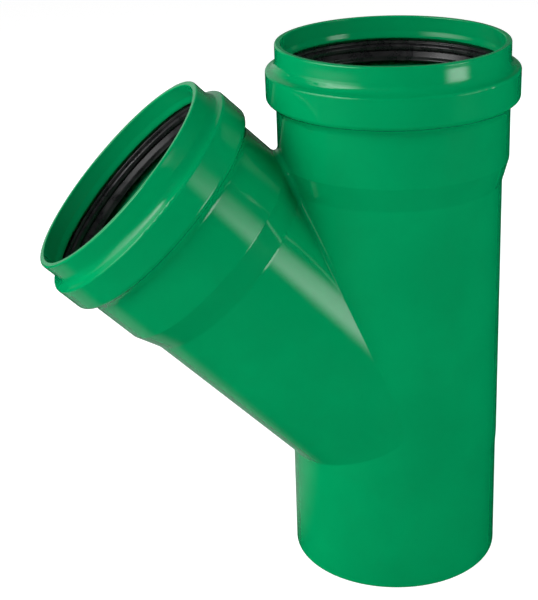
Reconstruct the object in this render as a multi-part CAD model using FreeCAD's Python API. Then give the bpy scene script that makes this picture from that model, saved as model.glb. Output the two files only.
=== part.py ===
import FreeCAD, Part
import math
import os

from FreeCAD import Vector

# A 45 degree sewer branch for 160 mm pipe, moulded in one piece, with a lip seal in each of
# its two sockets. The run's axis is +Z, the origin is the centre of the spigot's end, and the
# branch leans towards -X. Lengths are in millimetres, and a depth in a socket is measured
# from the plane of its mouth.

# The tubes and how they meet. Past the spigot the wall thickens a little outwards.
pipe_outer_radius = 80.0
spigot_wall = 4.9
thickening = 0.6
thickening_length = 12.0
thickening_rounding = 120.0
branch_tube_narrowing = 0.8
branch_angle = 45.0
spigot_length = 84.0
heel_margin = 5.4
crotch_to_mouth = 82.0
outer_crease_radius = 3.0
inner_crease_radius = 2.0
spigot_outer_rounding = 1.5
spigot_inner_rounding = 0.8

# The socket's barrel, and the taper from it to the tube
socket_clearance = 0.5
socket_wall = 5.0
pipe_end_allowance = 2.0
taper_length = 17.8
barrel_end_rounding = 3.0
taper_end_rounding = 6.0

# The narrow ring at the socket's mouth, and the shoulder from it to the collar
mouth_clearance = 1.2
mouth_wall = 4.3
mouth_ring_length = 17.0
shoulder_length = 2.6
mouth_outer_rounding = 1.3
mouth_inner_rounding = 0.8
shoulder_foot_rounding = 5.5

# The collar, and the seal's groove inside it
collar_edge_rounding = 2.0
collar_back_rounding = 3.5
collar_foot_length = 4.2
collar_foot_rounding = 6.5
groove_depth = 7.8
groove_wall = 4.5
groove_front_lean = 5.0
groove_floor_length = 14.6
groove_back_lean = 3.2
groove_back_wall = 4.4
groove_front_rounding = 0.8
groove_floor_rounding = 2.0
groove_back_rounding = 1.0

# The lip seal: a rim, a bead and a lip along its inside, parted by fine notches
seal_clearance = 0.15
seal_setback = 2.4
seal_recess = 0.4
rim_width = 1.8
rim_rounding = 0.7
notch_width = 0.6
notch_depth = 0.8
notch_rounding = 0.2
bead_width = 5.1
bead_stand = 0.7
bead_rounding = 1.5
lip_length = 6.4
lip_squeeze = 3.0
lip_thickness = 1.7
lip_tip_rounding = 0.7
undercut_depth = 3.6
undercut_width = 4.0
undercut_rounding = 1.4
heel_rounding = 0.6

# Radii that follow from them
run_bore_radius = pipe_outer_radius - spigot_wall
branch_bore_radius = run_bore_radius - branch_tube_narrowing
run_tube_radius = pipe_outer_radius + thickening
branch_tube_radius = run_tube_radius - branch_tube_narrowing
socket_bore_radius = pipe_outer_radius + socket_clearance
barrel_radius = socket_bore_radius + socket_wall
mouth_bore_radius = pipe_outer_radius + mouth_clearance
mouth_ring_radius = mouth_bore_radius + mouth_wall
groove_radius = socket_bore_radius + groove_depth
collar_radius = groove_radius + groove_wall

# Heights and depths that follow from them
half_angle = math.radians(branch_angle) / 2
crossing_height = spigot_length + heel_margin + pipe_outer_radius * math.tan(half_angle)
reach = barrel_radius / math.tan(half_angle) + crotch_to_mouth
groove_slope = math.atan2(groove_radius - mouth_bore_radius, groove_front_lean)
socket_depth = spigot_length + pipe_end_allowance
thickening_slope = math.atan2(thickening, thickening_length)
thickening_start = spigot_length + thickening_rounding * math.tan(thickening_slope / 2)


def groove_front(radius):
    """Depth of the groove's front wall, which leans from the ring's end to the groove's floor."""
    return mouth_ring_length + (radius - mouth_bore_radius) / math.tan(groove_slope)


groove_floor_end = groove_front(groove_radius) + groove_floor_length
collar_end = groove_floor_end + groove_back_wall


def taper_end(narrowing, run_narrowing):
    """Depth where a limb's taper ends, for the run's slope in both limbs."""
    return socket_depth + taper_length * narrowing / run_narrowing


def rounded_outline(corners):
    """Closed wire in the plane y = 0 through corners of (radius, height, rounding)."""
    points = [Vector(radius, 0, height) for radius, height, rounding in corners]
    spans = []
    for i, corner in enumerate(points):
        back = (points[i - 1] - corner).normalize()
        ahead = (points[(i + 1) % len(points)] - corner).normalize()
        rounding = corners[i][2]
        if rounding == 0:
            spans.append((corner, None, corner))
            continue
        half_turn = back.getAngle(ahead) / 2
        tangent = rounding / math.tan(half_turn)
        inset = rounding / math.sin(half_turn) - rounding
        apex = corner + (back + ahead).normalize() * inset
        spans.append((corner + back * tangent, apex, corner + ahead * tangent))
    edges = []
    for i, (start, apex, end) in enumerate(spans):
        if apex is not None:
            edges.append(Part.Arc(start, apex, end).toShape())
        following = spans[(i + 1) % len(spans)][0]
        if (following - end).Length > 1e-6:
            edges.append(Part.LineSegment(end, following).toShape())
    return Part.Wire(edges)


def turned(corners):
    """Solid of revolution of a closed outline about the Z axis."""
    return Part.Face(rounded_outline(corners)).revolve(Vector(0, 0, 0), Vector(0, 0, 1), 360)


def limb_outside(tube_radius, tube_end):
    """A limb's outer form, from its socket's mouth to the tube's end, filled to its axis."""
    taper_foot = taper_end(barrel_radius - tube_radius, barrel_radius - run_tube_radius)
    return [
        (0, reach, 0),
        (mouth_ring_radius, reach, mouth_outer_rounding),
        (mouth_ring_radius, reach - mouth_ring_length, shoulder_foot_rounding),
        (collar_radius, reach - mouth_ring_length - shoulder_length, collar_edge_rounding),
        (collar_radius, reach - collar_end, collar_back_rounding),
        (barrel_radius, reach - collar_end - collar_foot_length, collar_foot_rounding),
        (barrel_radius, reach - socket_depth, barrel_end_rounding),
        (tube_radius, reach - taper_foot, taper_end_rounding),
    ] + tube_end


def limb_inside(bore_radius, bore_end):
    """A limb's bore, which flares out past the mouth so that the mouth's inner edge is round."""
    flare_radius = mouth_bore_radius + mouth_inner_rounding
    above_mouth = reach + mouth_ring_length
    taper_foot = taper_end(socket_bore_radius - bore_radius, socket_bore_radius - run_bore_radius)
    return [
        (0, above_mouth, 0),
        (flare_radius, above_mouth, 0),
        (flare_radius, reach, 0),
        (mouth_bore_radius, reach, mouth_inner_rounding),
        (mouth_bore_radius, reach - groove_front(mouth_bore_radius), groove_front_rounding),
        (groove_radius, reach - groove_front(groove_radius), groove_floor_rounding),
        (groove_radius, reach - groove_floor_end, groove_floor_rounding),
        (socket_bore_radius, reach - groove_floor_end - groove_back_lean, groove_back_rounding),
        (socket_bore_radius, reach - socket_depth, barrel_end_rounding),
        (bore_radius, reach - taper_foot, taper_end_rounding),
    ] + bore_end


def run_outside():
    """The run's outer form, down to the spigot's end, thicker above the spigot."""
    thickening_foot = thickening_start - crossing_height
    thickening_top = thickening_foot + thickening_length
    spigot_end = [
        (run_tube_radius, thickening_top, thickening_rounding),
        (pipe_outer_radius, thickening_foot, thickening_rounding),
        (pipe_outer_radius, -crossing_height, spigot_outer_rounding),
        (0, -crossing_height, 0),
    ]
    return turned(limb_outside(run_tube_radius, spigot_end))


def run_inside():
    """The run's bore, down and out of the spigot's end, with a round edge there."""
    flare_radius = run_bore_radius + spigot_inner_rounding
    below_spigot = -crossing_height - mouth_ring_length
    spigot_end = [
        (run_bore_radius, -crossing_height, spigot_inner_rounding),
        (flare_radius, -crossing_height, 0),
        (flare_radius, below_spigot, 0),
        (0, below_spigot, 0),
    ]
    return turned(limb_inside(run_bore_radius, spigot_end))


def branch_outside():
    """The branch's outer form, down to the crossing of the axes."""
    return turned(limb_outside(branch_tube_radius, [(branch_tube_radius, 0, 0), (0, 0, 0)]))


def branch_inside():
    """The branch's bore, down to the crossing of the axes."""
    return turned(limb_inside(branch_bore_radius, [(branch_bore_radius, 0, 0), (0, 0, 0)]))


def leaned(shape):
    """Turns a limb about the crossing of the axes, from the run's axis to the branch's."""
    shape.rotate(Vector(0, 0, 0), Vector(0, 1, 0), -branch_angle)
    return shape


def raised(shape):
    """Lifts a shape from the crossing of the axes to its height over the spigot's end."""
    shape.translate(Vector(0, 0, crossing_height))
    return shape


def lies_on(edge, solid):
    """Whether an edge's middle lies on a solid's surface."""
    middle = edge.valueAt((edge.FirstParameter + edge.LastParameter) / 2)
    return solid.Shells[0].distToShape(Part.Vertex(middle))[0] < 0.01


def blended(run, branch, radius):
    """Run and branch as one solid, with a fillet along the crease where their surfaces meet."""
    joined = run.fuse(branch)
    crease = [edge for edge in joined.Edges if lies_on(edge, run) and lies_on(edge, branch)]
    return joined.makeFillet(radius, crease)


def fitting_body():
    """The moulded body: both limbs blended outside, less both bores blended inside."""
    outside = blended(run_outside(), leaned(branch_outside()), outer_crease_radius)
    inside = blended(run_inside(), leaned(branch_inside()), inner_crease_radius)
    return raised(outside.cut(inside))


def seal_ring():
    """The lip seal in its groove: its back follows the groove, and its lip leans inwards."""
    front = groove_front(mouth_bore_radius) + seal_setback
    rim_radius = socket_bore_radius + seal_recess
    bead_start = front + rim_width + notch_width
    lip_start = bead_start + bead_width + notch_width
    lip_end = lip_start + lip_length
    lip_radius = pipe_outer_radius - lip_squeeze
    lip_slope = math.atan2(rim_radius - lip_radius, lip_length)
    lip_back_end = lip_end + lip_thickness * math.sin(lip_slope)
    lip_back_radius = lip_radius + lip_thickness * math.cos(lip_slope)
    root_depth = lip_back_end - undercut_depth
    root_radius = lip_back_radius + undercut_depth * math.tan(lip_slope)
    back_radius = groove_radius - seal_clearance
    back_end = groove_floor_end - seal_clearance
    front_slack = seal_clearance / math.sin(groove_slope)
    front_radius = mouth_bore_radius + (seal_setback - front_slack) * math.tan(groove_slope)
    return turned([
        (rim_radius, reach - front, rim_rounding),
        (rim_radius, reach - front - rim_width, 0),
        (rim_radius + notch_depth, reach - front - rim_width, notch_rounding),
        (rim_radius + notch_depth, reach - bead_start, notch_rounding),
        (rim_radius - bead_stand, reach - bead_start, bead_rounding),
        (rim_radius - bead_stand, reach - bead_start - bead_width, bead_rounding),
        (rim_radius + notch_depth, reach - bead_start - bead_width, notch_rounding),
        (rim_radius + notch_depth, reach - lip_start, notch_rounding),
        (rim_radius, reach - lip_start, 0),
        (lip_radius, reach - lip_end, lip_tip_rounding),
        (lip_back_radius, reach - lip_back_end, lip_tip_rounding),
        (root_radius, reach - root_depth, undercut_rounding),
        (root_radius + undercut_width, reach - root_depth, undercut_rounding),
        (root_radius + undercut_width, reach - back_end, heel_rounding),
        (back_radius, reach - back_end, groove_floor_rounding),
        (back_radius, reach - groove_front(back_radius) - front_slack, groove_floor_rounding),
        (front_radius, reach - front, rim_rounding),
    ])


parts = {
    "fitting_body": fitting_body,
    "run_socket_seal": lambda: raised(seal_ring()),
    "branch_socket_seal": lambda: raised(leaned(seal_ring())),
}

os.makedirs("parts", exist_ok=True)
for node, made in parts.items():
    shape = made()
    shape.exportStep(f"parts/{node}.step")
    print(node, "valid" if shape.isValid() else "not valid", len(shape.Solids), "solid")
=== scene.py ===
"""Looks of a moulded sewer branch: one green plastic body and a black lip seal in each socket.

Lengths are in metres in the part's own frame: the run stands on its spigot along +Z, and the
branch leans 45 degrees towards -X.
"""

import logging
import math
from dataclasses import dataclass
from enum import Enum
from typing import Any

import bpy
import numpy as np
from mathutils import Matrix, Vector

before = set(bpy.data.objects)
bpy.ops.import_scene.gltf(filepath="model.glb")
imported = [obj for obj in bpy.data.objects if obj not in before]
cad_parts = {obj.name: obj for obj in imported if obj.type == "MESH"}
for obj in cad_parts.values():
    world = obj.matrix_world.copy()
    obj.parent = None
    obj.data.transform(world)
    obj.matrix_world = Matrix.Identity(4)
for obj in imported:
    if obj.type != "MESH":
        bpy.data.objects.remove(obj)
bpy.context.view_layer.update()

log = logging.getLogger("branch")


class Piece(Enum):
    """The moulded body and the two rings, under the names of their nodes."""

    BODY = "fitting_body"
    RUN_SEAL = "run_socket_seal"
    BRANCH_SEAL = "branch_socket_seal"


class Number:
    """A number that flows between a material's nodes. Arithmetic on it adds Math nodes."""

    def __init__(self, graph: "Graph", socket: bpy.types.NodeSocket) -> None:
        """Keeps the socket and the graph that it belongs to."""
        self.graph = graph
        self.socket = socket

    def _math(self, operation: str, *terms: Any) -> "Number":
        """Adds one Math node.

        Args:
            operation: The node's operation.
            terms: Its inputs in order, numbers or Number.

        Returns:
            The node's result.
        """
        made = self.graph.node(
            "ShaderNodeMath", {"operation": operation}, dict(enumerate(terms))
        )
        return Number(self.graph, made.outputs[0])

    def __add__(self, other: Any) -> "Number":
        """Sum."""
        return self._math("ADD", self, other)

    def __radd__(self, other: Any) -> "Number":
        """Sum, with the plain number first."""
        return self._math("ADD", other, self)

    def __sub__(self, other: Any) -> "Number":
        """Difference."""
        return self._math("SUBTRACT", self, other)

    def __rsub__(self, other: Any) -> "Number":
        """Difference, with the plain number first."""
        return self._math("SUBTRACT", other, self)

    def __mul__(self, other: Any) -> "Number":
        """Product."""
        return self._math("MULTIPLY", self, other)

    def __rmul__(self, other: Any) -> "Number":
        """Product, with the plain number first."""
        return self._math("MULTIPLY", other, self)

    def at_least(self, other: Any) -> "Number":
        """The larger of the two."""
        return self._math("MAXIMUM", self, other)

    def step(self, low: float, high: float) -> "Number":
        """A smooth step.

        Args:
            low: Where it is still 0.
            high: Where it has reached 1. A high below low makes the step fall.

        Returns:
            0 before low, 1 past high, and a smooth curve between them.
        """
        names = {"From Min": low, "From Max": high}
        settings = {"interpolation_type": "SMOOTHSTEP", "clamp": True}
        made = self.graph.node("ShaderNodeMapRange", settings, {"Value": self, **names})
        return Number(self.graph, made.outputs[0])


class Graph:
    """The nodes of one material or of the world."""

    def __init__(self, tree: bpy.types.NodeTree) -> None:
        """Empties the tree, so that it holds only what is added here."""
        self.tree = tree
        tree.nodes.clear()

    def node(self, kind: str, settings: dict, values: dict) -> bpy.types.Node:
        """Adds a node.

        Args:
            kind: The node's type.
            settings: Attributes of the node, set before its sockets are filled.
            values: For each input, by name or place, a plain value, a socket or a Number.

        Returns:
            The new node.
        """
        made = self.tree.nodes.new(kind)
        for name, value in settings.items():
            setattr(made, name, value)
        for key, value in values.items():
            given = value.socket if isinstance(value, Number) else value
            if isinstance(given, bpy.types.NodeSocket):
                self.tree.links.new(given, made.inputs[key])
            else:
                made.inputs[key].default_value = given
        return made

    def place(self) -> bpy.types.NodeSocket:
        """The point on the piece, in the part's own frame."""
        return self.node("ShaderNodeTexCoord", {}, {}).outputs["Object"]

    def depth(self, mouth: "Mouth") -> Number:
        """How far a point lies behind the plane of a socket's mouth.

        Args:
            mouth: The socket's mouth.

        Returns:
            The distance along the socket's axis, positive inwards.
        """
        away = self.node(
            "ShaderNodeVectorMath", {"operation": "SUBTRACT"}, {0: mouth.centre, 1: self.place()}
        )
        along = self.node(
            "ShaderNodeVectorMath", {"operation": "DOT_PRODUCT"}, {0: away.outputs[0], 1: mouth.axis}
        )
        return Number(self, along.outputs["Value"])

    def noise(self, size: float, detail: float = 2.0, seed: float = 0.0) -> Number:
        """Soft random variation over the surface.

        Args:
            size: Width of its patches.
            detail: How many finer layers lie on it.
            seed: Which pattern it is.

        Returns:
            Values around a half.
        """
        values = {"Vector": self.place(), "W": seed, "Scale": 1 / size, "Detail": detail}
        made = self.node("ShaderNodeTexNoise", {"noise_dimensions": "4D"}, values)
        return Number(self, made.outputs[0])

    def mix(self, share: Any, first: Any, second: Any) -> bpy.types.NodeSocket:
        """Mixes two colours.

        Args:
            share: How much of the second there is.
            first: Colour at 0.
            second: Colour at 1.

        Returns:
            The mixed colour.
        """
        made = self.node(
            "ShaderNodeMix", {"data_type": "RGBA"}, {"Factor": share, 6: first, 7: second}
        )
        return made.outputs[2]

    def bump(self, height: Number) -> bpy.types.NodeSocket:
        """Turns a height into a bent normal.

        Args:
            height: Height above the surface.

        Returns:
            The normal.
        """
        values = {"Strength": 1.0, "Distance": 1.0, "Height": height}
        return self.node("ShaderNodeBump", {}, values).outputs[0]

    def output(self, kind: str, shader: bpy.types.Node) -> None:
        """Joins a shader to the output of a material or of the world."""
        self.node(kind, {}, {"Surface": shader.outputs[0]})


@dataclass(frozen=True)
class Mouth:
    """Where a socket opens: the centre of its rim, and the way out along its axis."""

    centre: tuple[float, float, float]
    axis: tuple[float, float, float]


HALF_ROOT = math.sqrt(0.5)
CROSSING = 0.122537
REACH = 0.288415
RUN_MOUTH = Mouth((0.0, 0.0, CROSSING + REACH), (0.0, 0.0, 1.0))
BRANCH_MOUTH = Mouth(
    (-REACH * HALF_ROOT, 0.0, CROSSING + REACH * HALF_ROOT), (-HALF_ROOT, 0.0, HALF_ROOT)
)


@dataclass(frozen=True)
class MouldedGreen:
    """Green polypropylene as it leaves the mould, half glossy and very slightly uneven."""

    colour: tuple[float, ...] = (0.0, 0.300, 0.100, 1.0)
    deep_colour: tuple[float, ...] = (0.0, 0.278, 0.092, 1.0)
    gloss_roughness: float = 0.07
    dull_roughness: float = 0.10
    ior: float = 1.49
    cloud_size: float = 0.06
    flow_size: float = 0.012
    skin_size: float = 0.0016
    skin_depth: float = 0.000004
    wave_size: float = 0.022
    wave_depth: float = 0.00005
    flare_start: float = 0.003
    flare_end: float = 0.014
    flare_rise: float = 0.00044
    foot_start: float = 0.0108
    foot_end: float = 0.0165
    foot_rise: float = 0.0009

    def material(self) -> bpy.types.Material:
        """Builds the finish.

        Returns:
            The material.
        """
        made = bpy.data.materials.new("green_plastic_moulded")
        made.use_nodes = True
        graph = Graph(made.node_tree)
        cloud = graph.noise(self.cloud_size, 3.0, 1.0).step(0.35, 0.65)
        flow = graph.noise(self.flow_size, 2.0, 2.0).step(0.3, 0.7)
        colour = graph.mix(cloud, self.colour, self.deep_colour)
        dullness = self.dull_roughness - self.gloss_roughness
        roughness = self.gloss_roughness + flow * dullness
        skin = graph.noise(self.skin_size, 1.0, 3.0) * self.skin_depth
        wave = graph.noise(self.wave_size, 0.0, 4.0) * self.wave_depth
        height = skin + wave + self._swell(graph, RUN_MOUTH) + self._swell(graph, BRANCH_MOUTH)
        shader = graph.node("ShaderNodeBsdfPrincipled", {}, {
            "Base Color": colour,
            "Roughness": roughness,
            "IOR": self.ior,
            "Normal": graph.bump(height),
        })
        graph.output("ShaderNodeOutputMaterial", shader)
        return made

    def _swell(self, graph: Graph, mouth: Mouth) -> Number:
        """The ring at a mouth widens slightly from its rim, and quickly at its foot.

        Args:
            graph: The material's nodes.
            mouth: The socket's mouth.

        Returns:
            The height that it adds to the surface.
        """
        depth = graph.depth(mouth)
        flare = depth.step(self.flare_start, self.flare_end) * self.flare_rise
        return flare + depth.step(self.foot_start, self.foot_end) * self.foot_rise


@dataclass(frozen=True)
class SealRubber:
    """Black moulded rubber with a satin skin."""

    colour: tuple[float, ...] = (0.011, 0.011, 0.012, 1.0)
    bloom_colour: tuple[float, ...] = (0.020, 0.019, 0.020, 1.0)
    ior: float = 1.52
    bloom_size: float = 0.008
    grain_size: float = 0.0009
    grain_depth: float = 0.00002
    low_roughness: float = 0.26
    high_roughness: float = 0.42
    ridge_start: float = 0.0203
    ridge_end: float = 0.0240
    ridge_rise: float = 0.0012
    tip_start: float = 0.0305
    tip_end: float = 0.0335
    tip_fall: float = 0.0012

    def material(self) -> bpy.types.Material:
        """Builds the finish.

        Returns:
            The material.
        """
        made = bpy.data.materials.new("seal_rubber_black")
        made.use_nodes = True
        graph = Graph(made.node_tree)
        bloom = graph.noise(self.bloom_size, 3.0, 5.0).step(0.4, 0.7)
        grain = graph.noise(self.grain_size, 2.0, 6.0) * self.grain_depth
        height = grain + self._ridges(graph, RUN_MOUTH) + self._ridges(graph, BRANCH_MOUTH)
        spread = self.high_roughness - self.low_roughness
        shader = graph.node("ShaderNodeBsdfPrincipled", {}, {
            "Base Color": graph.mix(bloom, self.colour, self.bloom_colour),
            "Roughness": self.low_roughness + bloom * spread,
            "IOR": self.ior,
            "Normal": graph.bump(height),
        })
        graph.output("ShaderNodeOutputMaterial", shader)
        return made

    def _ridges(self, graph: Graph, mouth: Mouth) -> Number:
        """The bead slants inwards with depth, and the lip's tip rolls back.

        Args:
            graph: The material's nodes.
            mouth: The socket's mouth.

        Returns:
            The height that they add to the surface.
        """
        depth = graph.depth(mouth)
        bead = depth.step(self.ridge_start, self.ridge_end) * self.ridge_rise
        return bead - depth.step(self.tip_start, self.tip_end) * self.tip_fall


@dataclass
class Seen:
    """How the photograph was taken: from a little left and above, with the frame cut off centre.

    The eye is in metres, the angles in degrees and the focal length in millimetres.
    """

    eye: tuple[float, float, float] = (-0.22228, -0.98269, 0.63563)
    heading: float = -8.5635
    downward: float = 20.7629
    roll: float = -1.7146
    focal_length: float = 84.9335
    sensor: float = 36.0
    shift: tuple[float, float] = (-0.04595, -0.09152)

    def camera(self) -> None:
        """Makes the camera and gives it to the scene."""
        data = bpy.data.cameras.new("photo_camera")
        data.lens = self.focal_length
        data.sensor_width = self.sensor
        data.shift_x, data.shift_y = self.shift
        made = bpy.data.objects.new("photo_camera", data)
        turn = (
            Matrix.Rotation(math.radians(self.heading), 4, "Z")
            @ Matrix.Rotation(math.radians(90 - self.downward), 4, "X")
            @ Matrix.Rotation(math.radians(self.roll), 4, "Z")
        )
        made.matrix_world = Matrix.Translation(self.eye) @ turn
        bpy.context.scene.collection.objects.link(made)
        bpy.context.scene.camera = made


def flat_sheet(name: str, half_width: float, half_height: float) -> bpy.types.Object:
    """Makes a flat rectangle about the origin, facing +Z.

    Args:
        name: The object's name.
        half_width: Half its size along X.
        half_height: Half its size along Y.

    Returns:
        The object, linked to the scene.
    """
    half = np.array([half_width, half_height, 0])
    corners = np.array([(-1, -1, 0), (1, -1, 0), (1, 1, 0), (-1, 1, 0)]) * half
    mesh = bpy.data.meshes.new(name)
    mesh.from_pydata(corners.tolist(), [], [(0, 1, 2, 3)])
    made = bpy.data.objects.new(name, mesh)
    bpy.context.scene.collection.objects.link(made)
    return made


def standing(azimuth: float, distance: float, height: float) -> Matrix:
    """Place of something that stands beside the object and faces its axis.

    Args:
        azimuth: Degrees from straight in front, more towards +X.
        distance: Distance from the object's axis.
        height: Height of its middle.

    Returns:
        The place, with +X along its width and +Y up.
    """
    angle = math.radians(azimuth)
    spot = Vector((math.sin(angle) * distance, -math.cos(angle) * distance, height))
    turn = Matrix.Rotation(angle, 4, "Z") @ Matrix.Rotation(math.radians(90), 4, "X")
    return Matrix.Translation(spot) @ turn


@dataclass(frozen=True)
class Lamp:
    """A large soft lamp beside the object, in degrees, metres and watts.

    Glossy skins don't mirror it. They mirror a SoftFace in its place.
    """

    name: str
    azimuth: float
    distance: float
    width: float
    bottom: float
    top: float
    power: float

    def add(self) -> None:
        """Adds the lamp, hidden from glossy rays."""
        data = bpy.data.lights.new(self.name, "AREA")
        data.shape = "RECTANGLE"
        data.size = self.width
        data.size_y = self.top - self.bottom
        data.energy = self.power
        made = bpy.data.objects.new(self.name, data)
        made.matrix_world = standing(self.azimuth, self.distance, (self.bottom + self.top) / 2)
        made.visible_glossy = False
        bpy.context.scene.collection.objects.link(made)


@dataclass(frozen=True)
class SoftFace:
    """The glowing cloth of a soft box, which only glossy skins mirror.

    The glow changes from bottom to top, and fades out within a width at each edge. The first
    edge is the one with the smaller azimuth.
    """

    name: str
    azimuth: float
    distance: float
    width: float
    bottom: float
    top: float
    low_glow: float
    high_glow: float
    first_fade: float
    last_fade: float
    bottom_fade: float
    top_fade: float

    def add(self) -> None:
        """Adds the face."""
        half_width, half_height = self.width / 2, (self.top - self.bottom) / 2
        made = flat_sheet(self.name, half_width, half_height)
        made.matrix_world = standing(self.azimuth, self.distance, (self.bottom + self.top) / 2)
        made.visible_camera = False
        made.visible_diffuse = False
        made.visible_shadow = False
        made.visible_transmission = False
        material = bpy.data.materials.new(self.name)
        material.use_nodes = True
        graph = Graph(material.node_tree)
        parts = graph.node("ShaderNodeSeparateXYZ", {}, {0: graph.place()}).outputs
        along, up = Number(graph, parts[0]), Number(graph, parts[1])
        sides = along.step(-half_width, self.first_fade - half_width) * along.step(
            half_width, half_width - self.last_fade
        )
        ends = up.step(-half_height, self.bottom_fade - half_height) * up.step(
            half_height, half_height - self.top_fade
        )
        rise = up.step(-half_height, half_height)
        glow = (self.low_glow + rise * (self.high_glow - self.low_glow)) * sides * ends
        shader = graph.node("ShaderNodeEmission", {}, {"Color": (1, 1, 1, 1), "Strength": glow})
        graph.output("ShaderNodeOutputMaterial", shader)
        made.data.materials.append(material)


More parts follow.
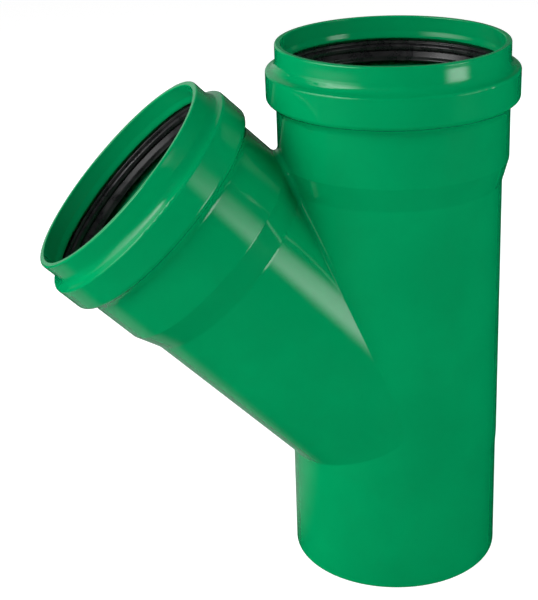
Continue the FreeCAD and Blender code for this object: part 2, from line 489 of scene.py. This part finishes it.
@dataclass
class Studio:
    """A pale floor, a white surround, six lamps and the two soft boxes that the plastic mirrors.

    The numbers of a lamp and of a face are its azimuth, distance, width, bottom and top. Each
    pair of a step says where it is still 0 and where it has reached 1.
    """

    lamps: tuple[Lamp, ...] = (
        Lamp("left_lamp", -62, 1.5, 1.9, 0.0, 2.2, power=16.0),
        Lamp("side_lamp", -85, 1.5, 1.4, 0.0, 2.0, power=22.0),
        Lamp("front_lamp", -40, 1.3, 1.0, 1.2, 2.6, power=16.0),
        Lamp("right_lamp", 51, 1.5, 0.56, 0.0, 2.0, power=14.2),
        Lamp("far_right_lamp", 80, 1.5, 0.8, 0.0, 2.0, power=7.0),
        Lamp("back_lamp", 170, 1.5, 1.6, 0.0, 2.0, power=20.0),
    )
    left_face: SoftFace = SoftFace(
        "left_face", -75, 1.5, 2.2, 0.06, 2.0, low_glow=1.2, high_glow=6.0,
        first_fade=1.15, last_fade=0.9, bottom_fade=0.30, top_fade=0.30,
    )
    right_face: SoftFace = SoftFace(
        "right_face", 49, 1.5, 0.84, 0.06, 1.35, low_glow=5.2, high_glow=1.0,
        first_fade=0.30, last_fade=0.30, bottom_fade=0.06, top_fade=0.80,
    )
    floor_half_width: float = 4.0
    floor_paint: float = 0.85
    seen_paint: float = 0.36
    seen_glow: float = 0.94
    high_light: float = 0.02
    mirrored_left: float = 0.42
    mirrored_right: float = 0.10
    backdrop_turn: tuple[float, float] = (-0.05, 0.10)
    backdrop_start: tuple[float, float] = (0.68, 1.0)
    # Painted pool of light on the floor, an emission patch that only glossy rays see.
    painted_patch_glow: float = 0.26
    pool_left: tuple[float, float] = (-0.62, -0.36)
    pool_right: tuple[float, float] = (0.04, -0.10)
    pool_near: tuple[float, float] = (-0.01, 0.08)
    pool_far: tuple[float, float] = (0.40, 0.24)

    def build(self) -> None:
        """Builds the surround, the floor, the lamps and the soft boxes."""
        self._surround()
        self._floor()
        for lamp in self.lamps:
            lamp.add()
        self.left_face.add()
        self.right_face.add()

    def _backdrop(self, graph: Graph, direction: bpy.types.NodeSocket) -> Number:
        """What a glossy skin mirrors above the floor: pale behind the object, else dark.

        Args:
            graph: The world's nodes.
            direction: Where a ray goes.

        Returns:
            The strength of the light from there.
        """
        parts = graph.node("ShaderNodeSeparateXYZ", {}, {0: direction}).outputs
        right = Number(graph, parts[0]).step(*self.backdrop_turn)
        pale = self.mirrored_left + right * (self.mirrored_right - self.mirrored_left)
        return Number(graph, parts[1]).step(*self.backdrop_start) * pale

    def _painted_light_patch(self, graph: Graph) -> Number:
        """What a glossy skin mirrors on the floor: a painted pool of light close behind, on the
        left, which glows though no lamp lights it.

        Args:
            graph: The floor's nodes.

        Returns:
            The strength of the light from a point of the floor.
        """
        parts = graph.node("ShaderNodeSeparateXYZ", {}, {0: graph.place()}).outputs
        across, behind = Number(graph, parts[0]), Number(graph, parts[1])
        beside = across.step(*self.pool_left) * across.step(*self.pool_right)
        return beside * behind.step(*self.pool_near) * behind.step(*self.pool_far) * self.painted_patch_glow

    def _surround(self) -> None:
        """White where the camera looks, and a trace of light from above for everything else."""
        world = bpy.data.worlds.new("surround")
        world.use_nodes = True
        bpy.context.scene.world = world
        graph = Graph(world.node_tree)
        path = graph.node("ShaderNodeLightPath", {}, {}).outputs
        direction = graph.node("ShaderNodeTexCoord", {}, {}).outputs["Generated"]
        parts = graph.node("ShaderNodeSeparateXYZ", {}, {0: direction}).outputs
        light = Number(graph, parts[2]).step(-0.1, 0.9) * self.high_light
        white = Number(graph, path["Is Camera Ray"]).at_least(path["Is Transmission Ray"])
        glossy = Number(graph, path["Is Glossy Ray"])
        rest = 1 - white.at_least(glossy)
        strength = white + glossy * self._backdrop(graph, direction) + rest * light
        values = {"Color": (1, 1, 1, 1), "Strength": strength}
        graph.output("ShaderNodeOutputWorld", graph.node("ShaderNodeBackground", {}, values))

    def _floor(self) -> None:
        """A pale floor that looks white to the camera and keeps the object's shadow; glossy rays see
        a painted pool of light on it.
        """
        made = flat_sheet("floor", self.floor_half_width, self.floor_half_width)
        material = bpy.data.materials.new("pale_floor")
        material.use_nodes = True
        graph = Graph(material.node_tree)
        path = graph.node("ShaderNodeLightPath", {}, {}).outputs
        paint, shaded = (
            graph.node("ShaderNodeBsdfDiffuse", {}, {"Color": (grey, grey, grey, 1)})
            for grey in (self.floor_paint, self.seen_paint)
        )
        glow = graph.node("ShaderNodeEmission", {}, {"Strength": self.seen_glow})
        bright = graph.node("ShaderNodeAddShader", {}, {0: shaded.outputs[0], 1: glow.outputs[0]})
        # Painted pool of light: emission on the floor that only glossy rays see.
        mirrored = graph.node("ShaderNodeEmission", {}, {"Strength": self._painted_light_patch(graph)})
        plain = graph.node("ShaderNodeMixShader", {}, {
            0: path["Is Camera Ray"], 1: paint.outputs[0], 2: bright.outputs[0],
        })
        shader = graph.node("ShaderNodeMixShader", {}, {
            0: path["Is Glossy Ray"], 1: plain.outputs[0], 2: mirrored.outputs[0],
        })
        graph.output("ShaderNodeOutputMaterial", shader)
        made.data.materials.append(material)


@dataclass
class Fitting:
    """The moulded branch and its two lip seals, with the shapes that the frame gives."""

    plastic: MouldedGreen = MouldedGreen()
    rubber: SealRubber = SealRubber()

    def dress(self) -> None:
        """Gives each node its finish."""
        green, black = self.plastic.material(), self.rubber.material()
        finishes = {Piece.BODY: green, Piece.RUN_SEAL: black, Piece.BRANCH_SEAL: black}
        for piece, material in finishes.items():
            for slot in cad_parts[piece.value].material_slots:
                slot.material = material
            log.info("%s dressed in %s", piece.value, material.name)


def main() -> None:
    """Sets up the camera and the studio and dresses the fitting."""
    logging.basicConfig(level=logging.INFO)
    Seen().camera()
    Studio().build()
    Fitting().dress()
    bpy.context.scene.view_settings.view_transform = "Standard"


if __name__ == "__main__":
    main()
